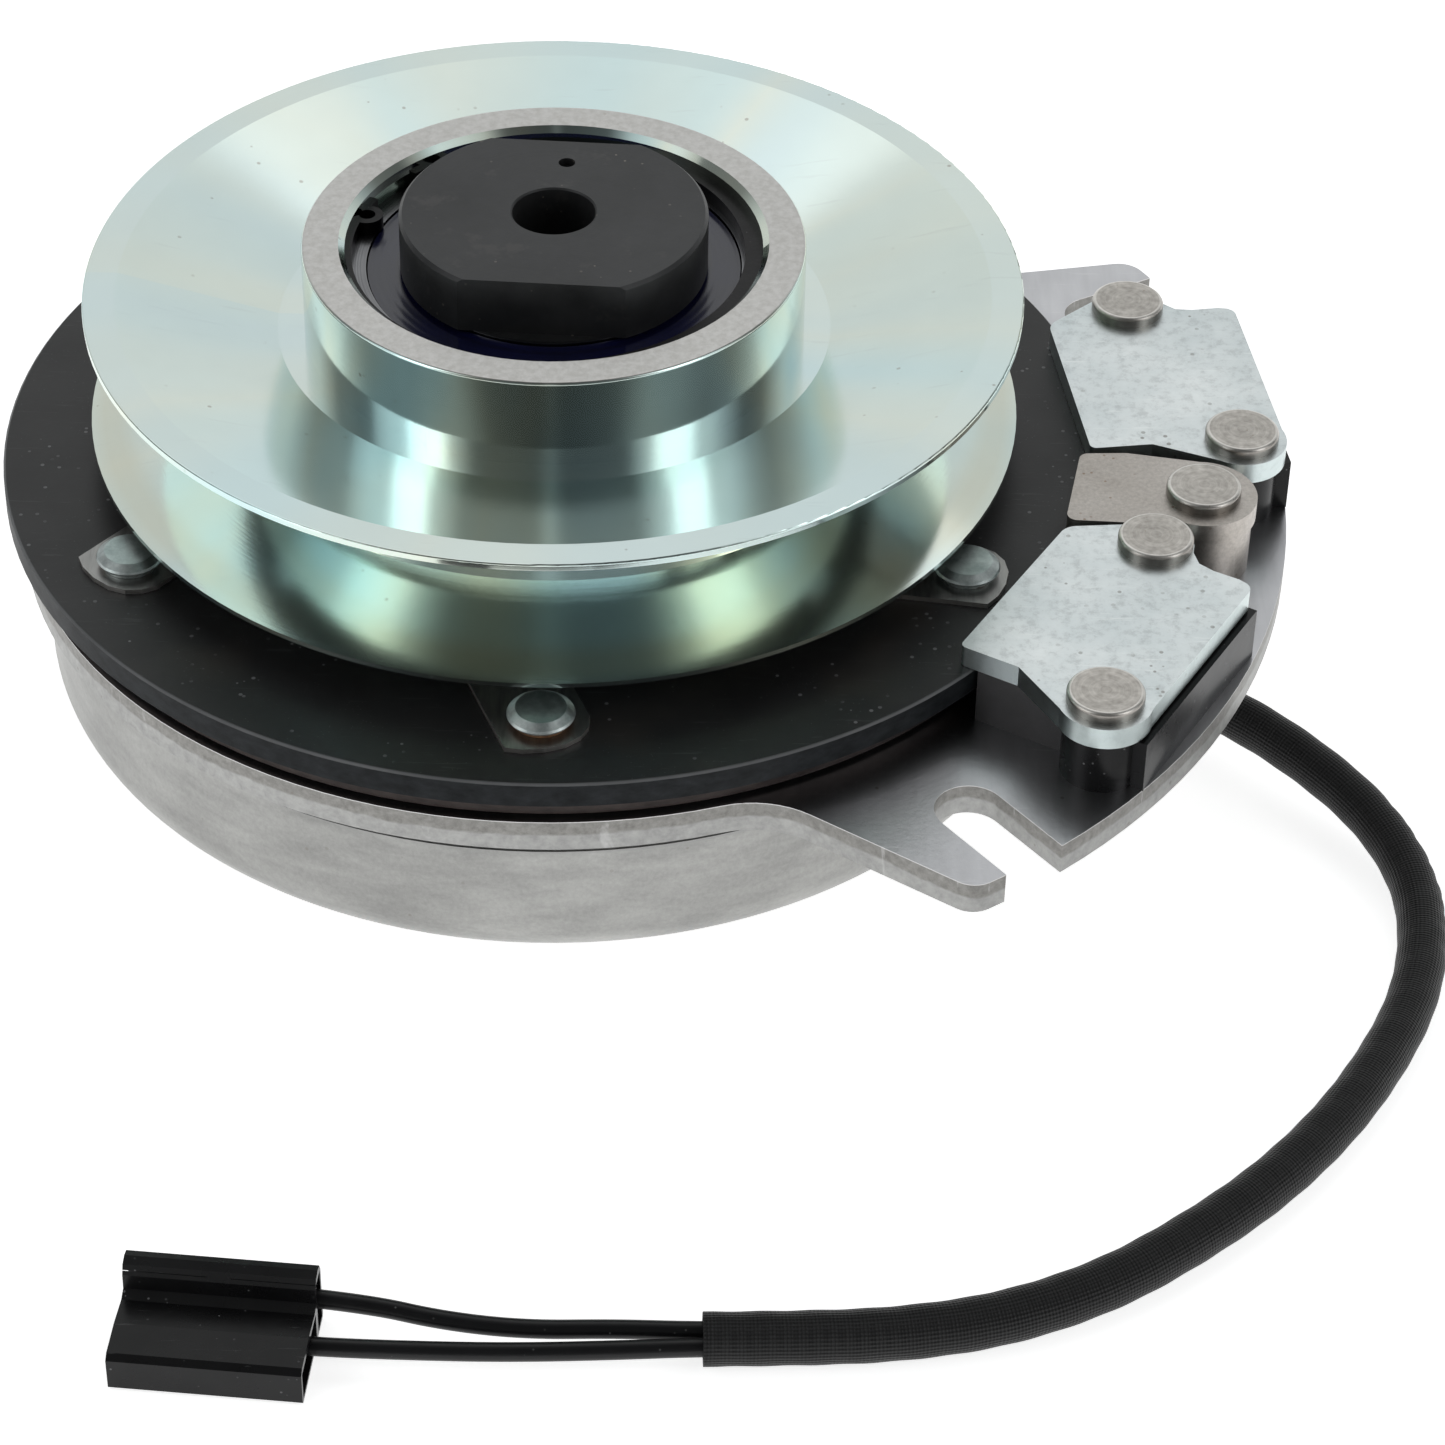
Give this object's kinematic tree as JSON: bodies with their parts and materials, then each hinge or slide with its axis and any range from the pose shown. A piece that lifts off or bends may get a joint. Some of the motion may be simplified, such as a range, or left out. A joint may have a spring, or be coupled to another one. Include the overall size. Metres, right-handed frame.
{
  "type": "electromagnetic clutch",
  "caption": "Electromagnetic clutch with V-belt pulley, leaf-spring armature, brake plates, forked mounting flange and a sleeved two-wire lead.",
  "frame": {"origin": "on the shaft axis at the bottom face of the field shell", "axes": "+Z along the shaft axis towards the pulley; the lead leaves the shell 14 degrees from +X towards -Y"},
  "size_m": [0.2164, 0.2474, 0.0791],
  "materials": {
    "raw_steel": "raw pressed steel, faintly pitted, semi-gloss",
    "cast_iron": "machined iron",
    "zinc": "zinc plate with a faint blue and yellow passivation",
    "dark_steel": "black oxide, satin",
    "armature_black": "black phosphate with a worn bright edge",
    "rotor_brown": "dark brown-black iron",
    "spring_steel": "rolled spring steel",
    "nickel_steel": "warm turned steel",
    "stop_steel": "brownish plated steel",
    "black_plastic": "moulded, glossy",
    "magnet": "ceramic magnet, matte",
    "bearing_steel": "ground bearing steel",
    "seal_rubber": "dark blue nitrile",
    "ring_black": "blackened spring steel",
    "cage_brass": "pressed cage",
    "copper": "enamelled copper winding",
    "bobbin_nylon": "glass filled nylon",
    "potting": "epoxy potting",
    "friction": "friction lining",
    "rubber": "moulded rubber",
    "sleeve": "woven varnished sleeving",
    "wire": "insulated wire",
    "tin": "tinned brass terminal"
  },
  "bodies": {
    "field": {"field_shell": "raw_steel", "field_inner_pole": "cast_iron", "coil_bobbin": "bobbin_nylon", "coil_winding": "copper", "coil_potting": "potting", "mounting_flange": "raw_steel", "lead_grommet": "rubber", "field_bearing_outer_ring": "bearing_steel", "field_seal_lower": "seal_rubber", "field_seal_upper": "seal_rubber", "field_retaining_ring": "ring_black", "brake_plate_front": "zinc", "magnet_carrier_front": "black_plastic", "brake_magnet_front": "magnet", "brake_pin_front_a": "nickel_steel", "brake_pin_front_b": "nickel_steel", "brake_plate_rear": "zinc", "magnet_carrier_rear": "black_plastic", "brake_magnet_rear": "magnet", "brake_pin_rear_a": "nickel_steel", "brake_pin_rear_b": "nickel_steel", "stop_plate": "stop_steel", "stop_spacer": "nickel_steel", "stop_pin": "nickel_steel", "lead_sleeve": "sleeve", "lead_wire_far": "wire", "lead_wire_near": "wire", "connector_housing": "black_plastic", "connector_terminal_near": "tin", "connector_terminal_far": "tin"},
    "rotor": {"rotor_hub": "dark_steel", "rotor_disc": "rotor_brown", "friction_ring": "friction", "hub_end_cap": "dark_steel", "field_bearing_inner_ring": "bearing_steel", "pulley_bearing_inner_ring": "bearing_steel"},
    "pulley": {"pulley": "zinc", "pulley_bearing_outer_ring": "bearing_steel", "pulley_seal_lower": "seal_rubber", "pulley_seal_upper": "seal_rubber", "pulley_retaining_ring": "ring_black", "leaf_spring": "spring_steel", "spring_rivets": "zinc"},
    "armature": {"armature_disc": "armature_black", "armature_rivet_1": "zinc", "armature_rivet_2": "zinc", "armature_rivet_3": "zinc", "armature_rivet_4": "zinc", "armature_rivet_5": "zinc", "armature_rivet_6": "zinc"},
    "field_cage": {"field_bearing_cage": "cage_brass", "field_bearing_balls": "bearing_steel"},
    "pulley_cage": {"pulley_bearing_cage": "cage_brass", "pulley_bearing_balls": "bearing_steel"}
  },
  "joints": [
    {"name": "rotor_spin", "type": "hinge", "parent": "field", "child": "rotor", "pos_m": [0, 0, 0], "axis": [0, 0, 1], "continuous": true},
    {"name": "pulley_spin", "type": "hinge", "parent": "rotor", "child": "pulley", "pos_m": [0, 0, 0], "axis": [0, 0, 1], "continuous": true},
    {"name": "armature_slide", "type": "slide", "parent": "pulley", "child": "armature", "axis": [0, 0, 1], "range_m": [-0.00045, 0], "stiffness_N_per_m": 20000, "springref_m": 0.0006, "deforming": ["leaf_spring"]},
    {"name": "field_cage_spin", "type": "hinge", "parent": "field", "child": "field_cage", "pos_m": [0, 0, 0.012], "axis": [0, 0, 1], "continuous": true},
    {"name": "pulley_cage_spin", "type": "hinge", "parent": "rotor", "child": "pulley_cage", "pos_m": [0, 0, 0.0579], "axis": [0, 0, 1], "continuous": true}
  ],
  "couplings": [
    {"joint": "field_cage_spin", "follows": "rotor_spin", "ratio": 0.4181},
    {"joint": "pulley_cage_spin", "follows": "pulley_spin", "ratio": 0.5897}
  ]
}
